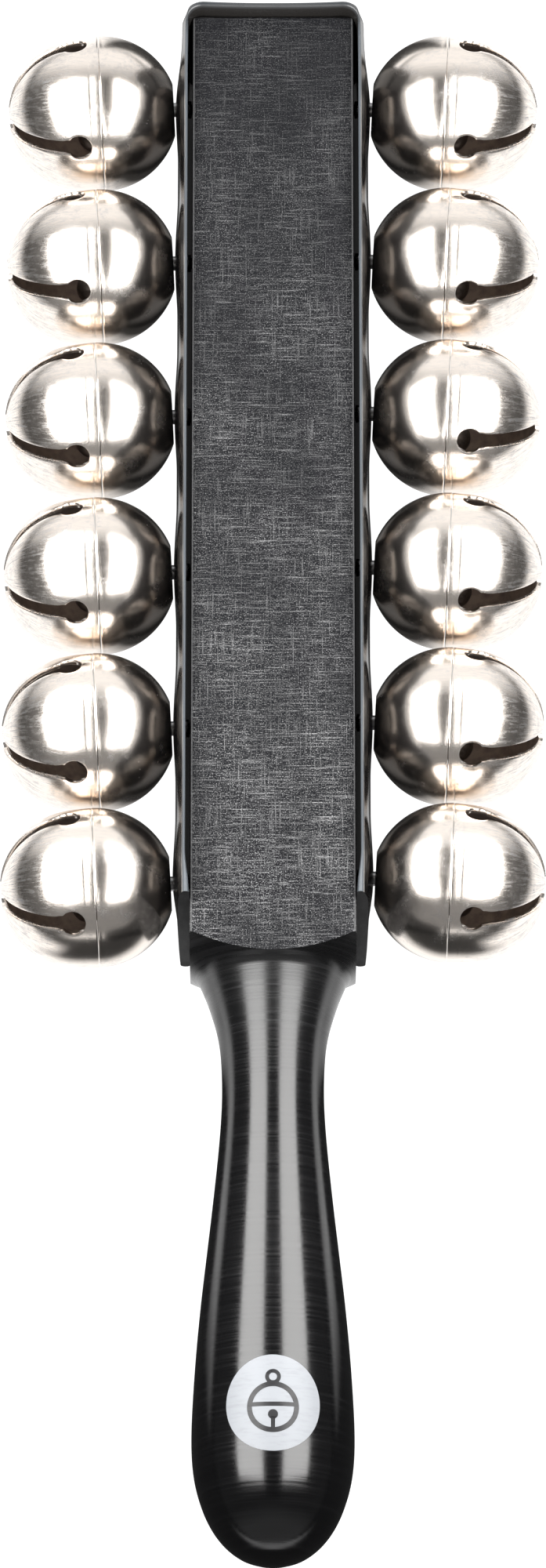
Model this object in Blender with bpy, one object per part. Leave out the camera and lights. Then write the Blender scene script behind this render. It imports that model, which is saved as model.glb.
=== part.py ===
"""Hand-held sleigh bells: twelve jingle bells on a strap round a turned wooden handle.

The part lies on its back. X runs across the two columns of bells, Y along the length with the
head of the block at +Y and the grip at -Y, and Z up out of the front face. Units are metres.
"""
import math

import bmesh
import bpy

MM = 0.001

# Block and turned grip, one piece of wood
AXIS_Z = 20.0            # height of the grip's axis above the table
BLOCK_HALF = 16.4        # half the square block's side
BLOCK_TOP = 159.05       # head end of the block
BLOCK_EASE = 0.8         # rounding of the head end's edges
BLOCK_ANGLES = (0, 11.25, 22.5, 33.75, 43.8, 46.2, 56.25, 67.5, 78.75)
# Lathe stations: distance along the axis, radius
TURNED = (
    (-36.9, 23.6), (-38.2, 20.9), (-39.6, 18.5), (-41.1, 16.4), (-41.9, 15.3), (-42.9, 14.6),
    (-46.3, 13.2), (-49.6, 12.1), (-52.95, 11.15), (-56.5, 10.5), (-60.9, 10.15), (-66.3, 10.05),
    (-72.2, 10.3), (-79.05, 10.85), (-88.85, 11.85), (-98.65, 12.95), (-108.45, 14.05),
    (-118.25, 14.95), (-127.1, 15.55), (-133.95, 15.85), (-139.35, 15.8), (-143.8, 15.35),
    (-147.7, 14.45), (-151.45, 13.1), (-154.75, 11.3), (-157.5, 9.0), (-159.6, 6.2), (-160.75, 3.2),
)
TURNED_END = -161.25

# Bells
BELLS = {                # places of the bells along the block, from the head
    -1: (144.7, 110.6, 76.9, 43.3, 9.9, -22.85),
    1: (144.7, 110.95, 77.6, 44.3, 11.15, -21.8),
}
BELL_COUNT = 6           # a side
LEAN = 3.2               # the outer ends of the bells droop a little towards the grip
BELL_R = 15.875          # a 1-1/4 inch bell
WALL = 0.9
SEAM_X = 35.3            # where the cup and the crown meet
SEAM_GAP = 0.15          # half the gap between their rims
CUP_POLE_X = 20.35       # flat of the cup against the strap
CROWN_X = 38.4           # centre of the crown's dome
SLOT_HALF = 1.12         # half the width of a slot
KEY_R = 2.4              # round end of a slot
KEY_S = 23.3             # its centre, measured over the dome from the pole
TIP_S = 2.3              # where the petals stop short of the pole
COLUMNS = 4              # facets across a petal
ROLLS = {                # how far each bell was turned when fixed
    -1: (4.6, -4.3, 3.3, 2.7, 4.5, -0.1),
    1: (3.8, -2.0, -6.4, -3.1, -5.1, 0.1),
}

# Fixings and strikers
HOLE_R = 1.8             # through the cup and the strap
SHANK_R = 1.45
PILOT_R = 1.6            # blind holes in the block
THREAD_R = 1.2
SCREW_TIP = 8.0          # how near the middle of the block the bell screws reach
PELLET_R = 3.5
PELLET_X = 36.8
PELLET_DROP = 10.85      # how far below the bell's centre the pellet lies at rest

# Strap
STRAP_T = 1.3
STRAP_HALF_W = 20.0      # the strap is deeper than the block, front and back
STRAP_SIDE = 17.2        # inner face at the strap's two edges
STRAP_TOP = 159.35       # inner face over the head, in the middle
STRAP_RISE = 0.35        # how much the corners stand above the middle
STRAP_CORNER = 3.0       # inner radius of the corners
STRAP_END_FRONT = -30.3
STRAP_END_BACK = -32.7
BOW = 0.95               # the strap stands off the flank at mid-width
BOW_AT_BELL = 1.45       # and a little more where a screw's collar lies behind it


def screw_y(bell):
    """Where a bell's screw is, for a bell whose middle is at this place along the block."""
    return bell + (SEAM_X - CUP_POLE_X) * math.sin(math.radians(LEAN))


def leaned(side, bell, points):
    """Turn a bell's points about the place where its cup meets the strap."""
    t = -side * math.radians(LEAN)
    pivot_x = side * CUP_POLE_X
    pivot_y = screw_y(bell)
    turned = []
    for x, y, z in points:
        dx = x - pivot_x
        dy = y - bell
        turned.append((pivot_x + dx * math.cos(t) - dy * math.sin(t),
                       pivot_y + dx * math.sin(t) + dy * math.cos(t), z))
    return turned


def material(name, colour, metallic, roughness):
    """A plain Principled material."""
    mat = bpy.data.materials.new(name)
    mat.use_nodes = True
    shader = mat.node_tree.nodes["Principled BSDF"]
    shader.inputs["Base Color"].default_value = (*colour, 1.0)
    shader.inputs["Metallic"].default_value = metallic
    shader.inputs["Roughness"].default_value = roughness
    return mat


def mesh_object(name, verts, faces, mat, sharp=35.0):
    """Make one named closed body from points in millimetres."""
    mesh = bpy.data.meshes.new(name)
    mesh.from_pydata([(x * MM, y * MM, z * MM) for x, y, z in verts], [], faces)
    mesh.validate()
    work = bmesh.new()
    work.from_mesh(mesh)
    bmesh.ops.recalc_face_normals(work, faces=work.faces)
    work.to_mesh(mesh)
    work.free()
    mesh.materials.append(mat)
    mesh.shade_smooth()
    mesh.set_sharp_from_angle(angle=math.radians(sharp))
    obj = bpy.data.objects.new(name, mesh)
    bpy.context.scene.collection.objects.link(obj)
    return obj


def ring_faces(rings, count, closed_loop=False):
    """Quads between successive rings of count points each."""
    faces = []
    pairs = len(rings) if closed_loop else len(rings) - 1
    for i in range(pairs):
        a = rings[i]
        b = rings[(i + 1) % len(rings)]
        for j in range(count):
            k = (j + 1) % count
            faces.append((a + j, a + k, b + k, b + j))
    return faces


def square_radius(degrees):
    """Distance from the axis to the block's flank in a given direction."""
    off = math.radians((degrees + 45.0) % 90.0 - 45.0)
    return BLOCK_HALF / math.cos(off)


def body_handle(mat):
    """The wooden block and its turned grip."""
    angles = [q * 90 + a for q in range(4) for a in BLOCK_ANGLES]
    stations = [(BLOCK_TOP, BLOCK_EASE, None), (BLOCK_TOP - BLOCK_EASE, 0.0, None)]
    stations += [(y, 0.0, radius) for y, radius in TURNED]
    verts = []
    rings = []
    for y, inset, radius in stations:
        rings.append(len(verts))
        for a in angles:
            r = square_radius(a) * (BLOCK_HALF - inset) / BLOCK_HALF
            if radius is not None:
                r = min(r, radius)
            t = math.radians(a)
            verts.append((r * math.sin(t), y, AXIS_Z + r * math.cos(t)))
    faces = ring_faces(rings, len(angles))
    for y, ring in ((BLOCK_TOP, rings[0]), (TURNED_END, rings[-1])):
        centre = len(verts)
        verts.append((0.0, y, AXIS_Z))
        faces += [(ring + j, ring + (j + 1) % len(angles), centre) for j in range(len(angles))]
    obj = mesh_object("body_handle", verts, faces, mat)
    spots = [(side, screw_y(bell)) for side in (-1, 1) for bell in BELLS[side]]
    holes = [(side * 13.0, y, AXIS_Z, "X", PILOT_R, 12.0) for side, y in spots]
    holes.append((0.0, BLOCK_TOP - 5.0, AXIS_Z, "Y", PILOT_R, 14.0))
    drill(obj, holes)
    return obj


def strap_half(side):
    """Inner line of one half of the strap's edge: x, y, normal, whether it is a leg."""
    places = [screw_y(bell) for bell in BELLS[side]]
    legs = []
    for index, y in enumerate(places):
        legs += [y + 8.0, y, y - 8.0]
        if index < BELL_COUNT - 1:
            legs.append((y + places[index + 1]) / 2)
    legs[0] = places[0] + 7.0
    legs[-1] = places[-1] - 5.0
    legs.append(None)
    half = [(0.0, STRAP_TOP, 0.0, 1.0, 0.0), (6.0, STRAP_TOP + 0.05, 0.0, 1.0, 0.0)]
    half.append((11.0, STRAP_TOP + 0.2, 0.0, 1.0, 0.0))
    corner_x = STRAP_SIDE - STRAP_CORNER
    corner_y = STRAP_TOP + STRAP_RISE - STRAP_CORNER
    for step in range(5):
        t = math.radians(22.5 * step)
        half.append((corner_x + STRAP_CORNER * math.sin(t), corner_y + STRAP_CORNER * math.cos(t),
                     math.sin(t), math.cos(t), 0.0))
    for y in legs:
        half.append((STRAP_SIDE, y, 1.0, 0.0, 1.0))
    return [(side * x, y, side * nx, ny, leg) for x, y, nx, ny, leg in half]


def strap_path():
    """The whole line, from one end of the strap to the other."""
    return strap_half(-1)[:0:-1] + strap_half(1)


def bow_at(side, y):
    """How far the strap's middle stands off at a place along a leg."""
    amount = BOW
    for bell in BELLS[side]:
        away = abs(y - screw_y(bell))
        if away < 13.0:
            amount = BOW + (BOW_AT_BELL - BOW) * (0.5 + 0.5 * math.cos(math.pi * away / 13.0))
    fade = (STRAP_TOP - 3.0 - y) / 7.0
    return amount * max(0.0, min(1.0, fade))


def strap(mat):
    """The U-shaped strap, bowed across its width on both legs."""
    widths = (-1.0, -0.93, -0.6, -0.25, 0.25, 0.6, 0.93, 1.0)
    path = strap_path()
    verts = []
    inner = []
    outer = []
    for x, y, nx, ny, leg in path:
        row_in = []
        row_out = []
        for w in widths:
            here = y
            if here is None:
                here = STRAP_END_BACK + (STRAP_END_FRONT - STRAP_END_BACK) * (w + 1.0) / 2.0
            lift = bow_at(1 if x > 0 else -1, here) * (1.0 - w * w) * leg
            ease = 0.3 if abs(w) == 1.0 else 0.0
            z = AXIS_Z + STRAP_HALF_W * w
            row_in.append(len(verts))
            verts.append((x + nx * (lift + ease), here + ny * (lift + ease), z))
            row_out.append(len(verts))
            verts.append((x + nx * (lift + STRAP_T - ease), here + ny * (lift + STRAP_T - ease), z))
        inner.append(row_in)
        outer.append(row_out)
    faces = []
    last = len(widths) - 1
    for i in range(len(path) - 1):
        for j in range(last):
            faces.append((inner[i][j], inner[i][j + 1], inner[i + 1][j + 1], inner[i + 1][j]))
            faces.append((outer[i][j], outer[i + 1][j], outer[i + 1][j + 1], outer[i][j + 1]))
        faces.append((inner[i][0], inner[i + 1][0], outer[i + 1][0], outer[i][0]))
        faces.append((inner[i][last], outer[i][last], outer[i + 1][last], inner[i + 1][last]))
    for i in (0, len(path) - 1):
        for j in range(last):
            faces.append((inner[i][j], outer[i][j], outer[i][j + 1], inner[i][j + 1]))
    obj = mesh_object("strap", verts, faces, mat, 40.0)
    spots = [(side, screw_y(bell)) for side in (-1, 1) for bell in BELLS[side]]
    holes = [(side * 18.8, y, AXIS_Z, "X", HOLE_R, 5.0) for side, y in spots]
    holes.append((0.0, STRAP_TOP, AXIS_Z, "Y", PILOT_R, 5.0))
    drill(obj, holes)
    return obj


def drill(obj, holes):
    """Cut round holes through an object and keep the result as plain mesh."""
    cutters = []
    for x, y, z, axis, radius, depth in holes:
        mesh = bpy.data.meshes.new("cutter")
        work = bmesh.new()
        bmesh.ops.create_cone(work, cap_ends=True, segments=12, radius1=radius * MM,
                              radius2=radius * MM, depth=depth * MM)
        work.to_mesh(mesh)
        work.free()
        cutter = bpy.data.objects.new("cutter", mesh)
        cutter.location = (x * MM, y * MM, z * MM)
        cutter.rotation_euler = (0, math.pi / 2, 0) if axis == "X" else (math.pi / 2, 0, 0)
        bpy.context.scene.collection.objects.link(cutter)
        cutters.append(cutter)
    group = bpy.data.collections.new("cutters")
    for cutter in cutters:
        group.objects.link(cutter)
    mod = obj.modifiers.new("holes", "BOOLEAN")
    mod.operation = "DIFFERENCE"
    mod.solver = "EXACT"
    mod.operand_type = "COLLECTION"
    mod.collection = group
    bpy.context.view_layer.update()
    graph = bpy.context.evaluated_depsgraph_get()
    done = bpy.data.meshes.new_from_object(obj.evaluated_get(graph))
    obj.modifiers.clear()
    obj.data = done
    for cutter in cutters:
        bpy.data.objects.remove(cutter, do_unlink=True)
    bpy.data.collections.remove(group)


def turned_x(name, side, y, z, profile, count, mat, turn=0.0, ring=False):
    """A body turned about an axis parallel to X. A ring has a hole through it, and leans as the bells do."""
    verts = []
    rings = []
    faces = []
    for x, r in profile:
        if r == 0.0:
            continue
        rings.append(len(verts))
        for j in range(count):
            t = math.radians(turn) + 2 * math.pi * j / count
            verts.append((side * x, y - r * math.sin(t), z + r * math.cos(t)))
    faces += ring_faces(rings, count, closed_loop=ring)
    if not ring:
        for x, start in ((profile[0][0], rings[0]), (profile[-1][0], rings[-1])):
            centre = len(verts)
            verts.append((side * x, y, z))
            faces += [(start + j, start + (j + 1) % count, centre) for j in range(count)]
    if ring:
        verts = leaned(side, y, verts)
    return mesh_object(name, verts, faces, mat)


def cup(name, side, y, turn, mat):
    """The plain inner half of a bell, with a flat and a hole at its pole."""
    first = math.degrees(math.acos((SEAM_X - CUP_POLE_X) / BELL_R))
    angles = [first, 36.0, 57.0, 76.0]
    rim = SEAM_X - SEAM_GAP
    outside = [(CUP_POLE_X, HOLE_R)]
    inside = [(CUP_POLE_X + WALL, HOLE_R)]
    for a in angles:
        t = math.radians(a)
        outside.append((SEAM_X - BELL_R * math.cos(t), BELL_R * math.sin(t)))
        inner_r = BELL_R - WALL
        inside.append((max(SEAM_X - inner_r * math.cos(t), CUP_POLE_X + WALL), inner_r * math.sin(t)))
    outside.append((rim, BELL_R))
    inside.append((rim, BELL_R - WALL))
    profile = outside + inside[::-1]
    return turned_x(name, side, y, AXIS_Z, profile, 4 * COLUMNS, mat, turn, ring=True)


def crown(name, side, y, turn, mat):
    """The slotted outer half of a bell: four petals joined by a band at the seam."""
    quarter = BELL_R * math.pi / 2
    end_s = quarter + CROWN_X - SEAM_X - SEAM_GAP
    low = math.sqrt(KEY_R ** 2 - SLOT_HALF ** 2)
    stations = [(TIP_S, SLOT_HALF), (8.5, SLOT_HALF), (15.0, SLOT_HALF), (KEY_S - low, SLOT_HALF),
                (KEY_S, KEY_R), (KEY_S + 1.6, math.sqrt(KEY_R ** 2 - 1.6 ** 2)), (KEY_S + KEY_R, 0.0),
                (end_s, 0.0)]
    verts = []
    index = {}

    def vertex(skin, i, petal, column):
        s, half = stations[i]
        if half == 0.0 and column == COLUMNS:
            petal = (petal + 1) % 4
            column = 0
        key = (skin, i, petal % 4, column)
        if key in index:
            return index[key]
        radius = BELL_R - WALL * skin
        polar = min(s, quarter) / BELL_R
        r = radius * math.sin(polar)
        x = CROWN_X + radius * math.cos(polar) - max(0.0, s - quarter)
        edge = math.asin(half / r)
        t = math.radians(turn + 90.0 * petal) + edge + (math.pi / 2 - 2 * edge) * column / COLUMNS
        index[key] = len(verts)
        verts.append((side * x, y - r * math.sin(t), AXIS_Z + r * math.cos(t)))
        return index[key]

    faces = []
    last = len(stations) - 1
    for petal in range(4):
        for i in range(last):
            for c in range(COLUMNS):
                faces.append(tuple(vertex(0, *p) for p in (
                    (i, petal, c), (i, petal, c + 1), (i + 1, petal, c + 1), (i + 1, petal, c))))
                faces.append(tuple(vertex(1, *p) for p in (
                    (i, petal, c), (i + 1, petal, c), (i + 1, petal, c + 1), (i, petal, c + 1))))
            if stations[i][1] > 0.0:
                for c in (0, COLUMNS):
                    faces.append((vertex(0, i, petal, c), vertex(0, i + 1, petal, c),
                                  vertex(1, i + 1, petal, c), vertex(1, i, petal, c)))
        for c in range(COLUMNS):
            for i in (0, last):
                faces.append((vertex(0, i, petal, c), vertex(0, i, petal, c + 1),
                              vertex(1, i, petal, c + 1), vertex(1, i, petal, c)))
    return mesh_object(name, leaned(side, y, verts), faces, mat)


def pellet(name, side, y, mat):
    """The loose ball that rings the bell, at rest on the bottom of it."""
    mesh = bpy.data.meshes.new(name)
    work = bmesh.new()
    bmesh.ops.create_icosphere(work, subdivisions=2, radius=PELLET_R * MM)
    centre = (side * PELLET_X * MM, y * MM, (AXIS_Z - PELLET_DROP) * MM)
    bmesh.ops.translate(work, verts=work.verts, vec=centre)
    work.to_mesh(mesh)
    work.free()
    mesh.materials.append(mat)
    mesh.shade_smooth()
    obj = bpy.data.objects.new(name, mesh)
    bpy.context.scene.collection.objects.link(obj)
    return obj


def bell_screw(name, side, y, mat):
    """The screw inside a bell: head, shank, the collar behind the strap, and its end in the wood."""
    profile = [(SCREW_TIP, 0.0), (SCREW_TIP + 1.8, THREAD_R), (16.7, THREAD_R), (16.7, 2.6), (18.3, 2.6),
               (18.3, SHANK_R), (21.75, SHANK_R), (21.75, 3.0), (22.95, 2.3), (23.25, 0.0)]
    return turned_x(name, side, screw_y(y), AXIS_Z, profile, 8, mat)


def head_screw(name, mat):
    """The low-headed screw that draws the middle of the strap down on the head of the block."""
    profile = [(149.3, THREAD_R * 0.3), (151.3, THREAD_R), (160.9, THREAD_R), (160.9, 2.6), (161.25, 2.2)]
    verts = []
    rings = []
    for y, r in profile:
        rings.append(len(verts))
        for j in range(12):
            t = 2 * math.pi * j / 12
            verts.append((r * math.sin(t), y, AXIS_Z + r * math.cos(t)))
    faces = ring_faces(rings, 12)
    for y, start in ((profile[0][0], rings[0]), (profile[-1][0], rings[-1])):
        centre = len(verts)
        verts.append((0.0, y, AXIS_Z))
        faces += [(start + j, start + (j + 1) % 12, centre) for j in range(12)]
    return mesh_object(name, verts, faces, mat)


def main():
    """Build every piece."""
    for obj in list(bpy.data.objects):
        bpy.data.objects.remove(obj, do_unlink=True)
    body_handle(material("black_stained_wood", (0.03, 0.03, 0.032), 0.0, 0.45))
    strap(material("black_strap", (0.01, 0.01, 0.011), 0.0, 0.2))
    for label, side in (("l", -1), ("r", 1)):
        for i, y in enumerate(BELLS[side]):
            stem = "bell_%s%d" % (label, i + 1)
            turn = 45.0 + ROLLS[side][i]
            cup(stem + "_cup", side, y, turn, material(stem + "_cup", (0.72, 0.70, 0.66), 1.0, 0.25))
            crown(stem + "_crown", side, y, turn, material(stem + "_crown", (0.8, 0.78, 0.75), 1.0, 0.22))
            pellet(stem + "_pellet", side, y, material(stem + "_pellet", (0.4, 0.38, 0.36), 1.0, 0.35))
            bell_screw(stem + "_screw", side, y, material(stem + "_screw", (0.5, 0.5, 0.5), 1.0, 0.3))
    head_screw("strap_screw", material("strap_screw", (0.2, 0.2, 0.2), 1.0, 0.4))


main()
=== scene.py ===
"""Hand-held sleigh bells: two rows of jingle bells on a strap round a block with a turned grip."""
import logging
import math
from dataclasses import dataclass, field
from enum import Enum

import bmesh
import bpy
from mathutils import Matrix, Vector, noise


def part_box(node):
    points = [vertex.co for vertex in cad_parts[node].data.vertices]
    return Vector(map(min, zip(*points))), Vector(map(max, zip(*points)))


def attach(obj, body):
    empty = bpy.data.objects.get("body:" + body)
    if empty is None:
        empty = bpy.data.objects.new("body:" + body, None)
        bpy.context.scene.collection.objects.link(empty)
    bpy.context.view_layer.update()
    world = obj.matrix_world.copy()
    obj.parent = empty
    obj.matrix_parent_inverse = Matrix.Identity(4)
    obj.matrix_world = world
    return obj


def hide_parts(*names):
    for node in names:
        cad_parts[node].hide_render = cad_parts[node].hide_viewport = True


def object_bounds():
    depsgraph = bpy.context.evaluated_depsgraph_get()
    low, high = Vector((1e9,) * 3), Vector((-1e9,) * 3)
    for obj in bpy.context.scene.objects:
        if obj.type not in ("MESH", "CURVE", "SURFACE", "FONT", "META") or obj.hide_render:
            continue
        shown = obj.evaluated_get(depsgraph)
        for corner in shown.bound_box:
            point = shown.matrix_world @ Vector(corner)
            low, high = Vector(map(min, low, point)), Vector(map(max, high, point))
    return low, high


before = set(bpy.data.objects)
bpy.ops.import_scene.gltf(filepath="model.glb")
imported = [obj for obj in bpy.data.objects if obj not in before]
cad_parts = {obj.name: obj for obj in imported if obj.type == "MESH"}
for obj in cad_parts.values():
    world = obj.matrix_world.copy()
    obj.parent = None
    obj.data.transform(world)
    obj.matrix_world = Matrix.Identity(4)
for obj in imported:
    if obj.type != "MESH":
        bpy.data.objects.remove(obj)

log = logging.getLogger("sleigh_bells")
MM = 0.001
Point = tuple[float, float, float]
Station = tuple[float, float]
CAD_LOW, CAD_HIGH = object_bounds()
AXIS_Z = (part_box("strap")[0].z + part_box("strap")[1].z) / 2 / MM
COPIED_SETTINGS = (
    "thickness", "offset", "use_even_offset", "material_offset",
    "width", "segments", "limit_method", "angle_limit",
)


class Side(Enum):
    """Which row a bell belongs to."""

    LEFT = -1
    RIGHT = 1

    @property
    def letter(self) -> str:
        """The letter that the CAD nodes of this row carry."""
        return "l" if self is Side.LEFT else "r"


class Socket(str, Enum):
    """The shader inputs that the finishes set or feed."""

    COLOUR = "Base Color"
    METALLIC = "Metallic"
    ROUGHNESS = "Roughness"
    NORMAL = "Normal"
    SPECULAR = "Specular IOR Level"
    GLOW = "Emission Color"
    GLOW_STRENGTH = "Emission Strength"


def smooth_step(low: float, high: float, value: float) -> float:
    """Ease from 0 to 1.

    Args:
        low: Where the ease starts.
        high: Where it ends.
        value: The value to ease.

    Returns:
        0 before low, 1 after high, and a smooth curve between them.
    """
    t = max(0.0, min(1.0, (value - low) / (high - low)))
    return t * t * (3.0 - 2.0 * t)


def read_line(line: list[Station], place: float, beyond: float) -> float:
    """Read a line of falling places.

    Args:
        line: Pairs of place and value, the places falling from one to the next.
        place: Where to read it.
        beyond: The value for a place that the line doesn't reach.

    Returns:
        The value at the place.
    """
    for (high, first), (low, second) in zip(line, line[1:]):
        if low <= place <= high:
            return first + (second - first) * (high - place) / (high - low)
    return beyond


def circle(radius: float, count: int, rise: float = 0.0) -> list[Station]:
    """Even points on a circle.

    Args:
        radius: Its radius.
        count: How many points.
        rise: How far its middle stands above the origin.

    Returns:
        The points, anticlockwise from the right.
    """
    turns = [2 * math.pi * i / count for i in range(count)]
    return [(radius * math.cos(t), radius * math.sin(t) + rise) for t in turns]


@dataclass
class Sketch:
    """Points and faces gathered in millimetres, then made into one piece."""

    points: list[Point] = field(default_factory=list)
    faces: list[tuple[int, ...]] = field(default_factory=list)
    dressed: list[int] = field(default_factory=list)

    def ring(self, points: list[Point]) -> list[int]:
        """Add a row of points.

        Args:
            points: The points.

        Returns:
            Their numbers.
        """
        start = len(self.points)
        self.points.extend(points)
        return list(range(start, len(self.points)))

    def face(self, corners: tuple[int, ...], slot: int = 0) -> None:
        """Add one face.

        Args:
            corners: Its corners' numbers.
            slot: Its material slot.
        """
        self.faces.append(corners)
        self.dressed.append(slot)

    def bridge(self, first: list[int], second: list[int], closed: bool = True, slot: int = 0) -> None:
        """Join two rows of the same length with quads.

        Args:
            first: Point numbers of one row.
            second: Point numbers of the next.
            closed: Whether each row closes on itself.
            slot: Material slot of the new faces.
        """
        count = len(first)
        for j in range(count if closed else count - 1):
            k = (j + 1) % count
            self.face((first[j], first[k], second[k], second[j]), slot)

    def fan(self, ring: list[int], centre: Point, slot: int = 0) -> None:
        """Close a ring with triangles to a centre point.

        Args:
            ring: Point numbers of the ring.
            centre: The centre point.
            slot: Material slot of the new faces.
        """
        middle = self.ring([centre])[0]
        for j, number in enumerate(ring):
            self.face((number, ring[(j + 1) % len(ring)], middle), slot)

    def make(self, name: str, sharp: float = 35.0) -> bpy.types.Object:
        """Make the object.

        Args:
            name: Name of the piece.
            sharp: Faces that meet at more than this angle, in degrees, keep a crisp edge.

        Returns:
            The new object, linked to the scene.
        """
        mesh = bpy.data.meshes.new(name)
        mesh.from_pydata([(x * MM, y * MM, z * MM) for x, y, z in self.points], [], self.faces)
        mesh.polygons.foreach_set("material_index", self.dressed)
        work = bmesh.new()
        work.from_mesh(mesh)
        bmesh.ops.remove_doubles(work, verts=work.verts, dist=1e-7)
        bmesh.ops.recalc_face_normals(work, faces=work.faces)
        work.to_mesh(mesh)
        work.free()
        mesh.shade_smooth()
        mesh.set_sharp_from_angle(angle=math.radians(sharp))
        obj = bpy.data.objects.new(name, mesh)
        bpy.context.scene.collection.objects.link(obj)
        return obj


def publish(
    obj: bpy.types.Object, body: str, finishes: list[bpy.types.Material], nodes: list[str]
) -> None:
    """Dress a piece, put it on its body and report it.

    Args:
        obj: The finished piece, in place.
        body: The CAD body that it moves with.
        finishes: Its materials, one for each slot of the mesh.
        nodes: The CAD nodes that it stands for.
    """
    if not obj.data.materials:
        for finish in finishes:
            obj.data.materials.append(finish)
    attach(obj, body)
    if nodes:
        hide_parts(*nodes)
    log.info("%s rides on %s", obj.name, body)


class Graph:
    """A node tree, built by short calls."""

    def __init__(self, tree: bpy.types.NodeTree) -> None:
        """Take up a tree.

        Args:
            tree: The tree to build in.
        """
        self.tree = tree

    def add(self, kind: str, *sources: object) -> bpy.types.Node:
        """Add a node.

        Args:
            kind: Blender's name for it.
            sources: What goes into its first inputs.

        Returns:
            The node.
        """
        node = self.tree.nodes.new(kind)
        for socket, source in zip(node.inputs, sources):
            self.plug(socket, source)
        return node

    def plug(self, target: bpy.types.NodeSocket, source: object) -> None:
        """Give an input a value, or link an output to it.

        Args:
            target: The input.
            source: A value or an output.
        """
        if isinstance(source, bpy.types.NodeSocket):
            self.tree.links.new(source, target)
        else:
            target.default_value = source

    def span(
        self, value: object, low: float, high: float, to_low: float = 0.0, to_high: float = 1.0
    ) -> bpy.types.NodeSocket:
        """Carry a value from one range to another, held at the ends.

        Args:
            value: The value.
            low: Start of the range that it comes from.
            high: End of that range.
            to_low: What the start becomes.
            to_high: What the end becomes.

        Returns:
            The new value.
        """
        return self.add("ShaderNodeMapRange", value, low, high, to_low, to_high).outputs["Result"]

    def sum(self, operation: str, *values: object) -> bpy.types.NodeSocket:
        """One arithmetic step.

        Args:
            operation: Blender's name for it.
            values: The values that it works on.

        Returns:
            The result.
        """
        node = self.add("ShaderNodeMath", *values)
        node.operation = operation
        return node.outputs[0]

    def times(self, first: object, second: object) -> bpy.types.NodeSocket:
        """The product of two values."""
        return self.sum("MULTIPLY", first, second)

    def larger(self, first: object, second: object) -> bpy.types.NodeSocket:
        """The larger of two values."""
        return self.sum("MAXIMUM", first, second)

    def split(self, vector: object) -> list[bpy.types.NodeSocket]:
        """The three parts of a vector."""
        return list(self.add("ShaderNodeSeparateXYZ", vector).outputs)


class Recipe(Graph):
    """A material, built by short calls."""

    SHIFT = (170.0, 170.0, 170.0)

    def __init__(self, name: str) -> None:
        """Start an empty recipe.

        Args:
            name: Name of the material.
        """
        self.material = bpy.data.materials.new(name)
        self.material.use_nodes = True
        super().__init__(self.material.node_tree)
        self.shader = self.tree.nodes["Principled BSDF"]
        self.place = self.add("ShaderNodeTexCoord").outputs["Object"]

    def set(self, **values: object) -> None:
        """Set plain values on the shader.

        Args:
            values: The values, each named by a member of Socket.
        """
        for name, value in values.items():
            self.shader.inputs[Socket[name].value].default_value = value

    def feed(self, **outputs: bpy.types.NodeSocket) -> None:
        """Link outputs to the shader's inputs.

        Args:
            outputs: The outputs, each named by a member of Socket.
        """
        for name, output in outputs.items():
            self.plug(self.shader.inputs[Socket[name].value], output)

    def vector(self, operation: str, first: object, second: object) -> bpy.types.NodeSocket:
        """One step of arithmetic on vectors.

        Args:
            operation: Blender's name for it.
            first: The first vector.
            second: The second one.

        Returns:
            The resulting vector.
        """
        node = self.add("ShaderNodeVectorMath", first, second)
        node.operation = operation
        return node.outputs[0]

    def shifted(self, source: object) -> bpy.types.NodeSocket:
        """Coordinates moved by the object's own place, so that no two bells wear the same marks."""
        own = self.add("ShaderNodeObjectInfo").outputs["Location"]
        return self.vector("ADD", source, self.vector("MULTIPLY", own, self.SHIFT))

    def noise(
        self, vector: object, scale: float, detail: float = 3.0, rough: float = 0.5
    ) -> bpy.types.NodeSocket:
        """Cloudy noise.

        Args:
            vector: Coordinates.
            scale: Waves per metre of coordinate.
            detail: Octaves.
            rough: Strength of the finer octaves.

        Returns:
            The noise, from 0 to 1.
        """
        node = self.add("ShaderNodeTexNoise", vector)
        for name, value in (("Scale", scale), ("Detail", detail), ("Roughness", rough)):
            node.inputs[name].default_value = value
        return node.outputs["Fac"]

    def drawn(self, waves: Point, detail: float = 3.0, rough: float = 0.5) -> bpy.types.NodeSocket:
        """Noise drawn out along an axis.

        Args:
            waves: Waves per metre along each axis.
            detail: Octaves.
            rough: Strength of the finer octaves.

        Returns:
            The noise, from 0 to 1.
        """
        return self.noise(self.vector("MULTIPLY", self.place, waves), 1.0, detail, rough)

    def blend(self, amount: object, first: object, second: object) -> bpy.types.NodeSocket:
        """Mix two colours.

        Args:
            amount: Share of the second, from 0 to 1.
            first: A colour, or an output that gives one.
            second: The other colour.

        Returns:
            The mixed colour.
        """
        node = self.add("ShaderNodeMix", amount)
        node.data_type = "RGBA"
        for index, colour in ((6, first), (7, second)):
            self.plug(node.inputs[index], (*colour, 1.0) if isinstance(colour, tuple) else colour)
        return node.outputs[2]

    def relief(self, height: object, depth: float, below: object = None) -> bpy.types.NodeSocket:
        """Surface relief.

        Args:
            height: The height pattern, from 0 to 1.
            depth: How deep it goes, in metres.
            below: An earlier relief that it lies on.

        Returns:
            The surface's new normal.
        """
        node = self.add("ShaderNodeBump")
        node.inputs["Strength"].default_value = 1.0
        node.inputs["Distance"].default_value = depth
        self.plug(node.inputs["Height"], height)
        if below is not None:
            self.plug(node.inputs["Normal"], below)
        return node.outputs["Normal"]


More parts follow.
